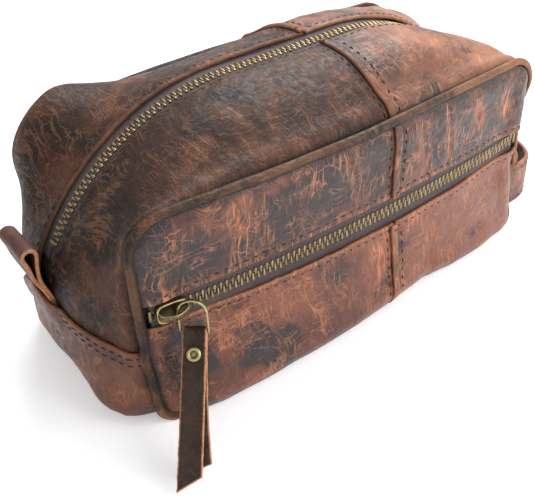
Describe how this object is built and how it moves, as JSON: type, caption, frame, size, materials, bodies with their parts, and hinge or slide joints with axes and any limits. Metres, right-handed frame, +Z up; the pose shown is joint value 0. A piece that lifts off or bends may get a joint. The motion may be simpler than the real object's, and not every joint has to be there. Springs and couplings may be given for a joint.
{
  "type": "shaving kit bag",
  "caption": "Boxy distressed-leather dopp kit with a zip over the crown, a zipped front pocket, piped edges, leather zip pulls, a loop tab and a carry handle.",
  "frame": {"origin": "centre of the base, on the surface the bag stands on", "axes": "+X along the bag towards the carry handle, -Y towards the front pocket, +Z up"},
  "size_m": [0.2746, 0.1417, 0.11],
  "materials": {
    "hide": "distressed pull-up buffalo leather, brown with charcoal patches and rust veins, semi-gloss",
    "piping_leather": "dark leather-covered piping",
    "strap_leather": "dark brown strap leather with raw tan edges",
    "antique_brass": "antique brass, worn bright on its edges",
    "zip_tape": "dark brown twill",
    "lining_cloth": "plain cotton lining",
    "board": "fibre board"
  },
  "bodies": {
    "root": {"front_upper_left_panel": "hide", "front_upper_right_panel": "hide", "front_lower_left_panel": "hide", "front_lower_right_panel": "hide", "back_panel": "hide", "gusset_front_left": "hide", "gusset_front_right": "hide", "gusset_back_left": "hide", "gusset_back_right": "hide", "base_panel": "hide", "front_piping": "piping_leather", "back_piping": "piping_leather", "front_zip_tape_upper": "zip_tape", "front_zip_tape_lower": "zip_tape", "front_zip_teeth_upper": "antique_brass", "front_zip_teeth_lower": "antique_brass", "front_zip_stops": "antique_brass", "main_zip_tape_front": "zip_tape", "main_zip_tape_back": "zip_tape", "main_zip_teeth_front": "antique_brass", "main_zip_teeth_back": "antique_brass", "main_zip_stops": "antique_brass", "loop_tab_left": "hide", "side_handle": "hide", "lining": "lining_cloth", "pocket_divider": "lining_cloth", "base_stiffener": "board"},
    "front_zip_slider": {"front_slider": "antique_brass"},
    "front_ring": {"front_pull_ring": "antique_brass"},
    "front_strap": {"front_pull_strap": "strap_leather", "front_strap_rivet": "antique_brass"},
    "main_zip_slider": {"main_slider": "antique_brass"},
    "main_ring": {"main_pull_ring": "antique_brass"},
    "main_strap": {"main_pull_strap": "strap_leather", "main_strap_rivet": "antique_brass"}
  },
  "joints": [
    {"name": "front_slider_run", "type": "hinge", "parent": "root", "child": "front_zip_slider", "pos_m": [0, 0.73728, 0.05], "axis": [0, 0, 1], "range_deg": [0, 13.2]},
    {"name": "front_ring_swing", "type": "hinge", "parent": "front_zip_slider", "child": "front_ring", "pos_m": [-0.09021, -0.05116, 0.05], "axis": [0, 0, -1], "range_deg": [-25, 50]},
    {"name": "front_strap_lift", "type": "hinge", "parent": "front_ring", "child": "front_strap", "pos_m": [-0.08619, -0.05453, 0.041], "axis": [-0.766, 0.6428, 0], "range_deg": [0, 90]},
    {"name": "main_slider_run", "type": "hinge", "parent": "root", "child": "main_zip_slider", "pos_m": [0.03, 0, 0.01], "axis": [0, -1, 0], "range_deg": [0, 52]},
    {"name": "main_ring_swing", "type": "hinge", "parent": "main_zip_slider", "child": "main_ring", "pos_m": [0.10945, 0, 0.0734], "axis": [0, -1, 0], "range_deg": [0, 120]},
    {"name": "main_strap_lift", "type": "hinge", "parent": "main_ring", "child": "main_strap", "pos_m": [0.11972, 0, 0.06239], "axis": [0, -1, 0], "range_deg": [0, 75]}
  ]
}
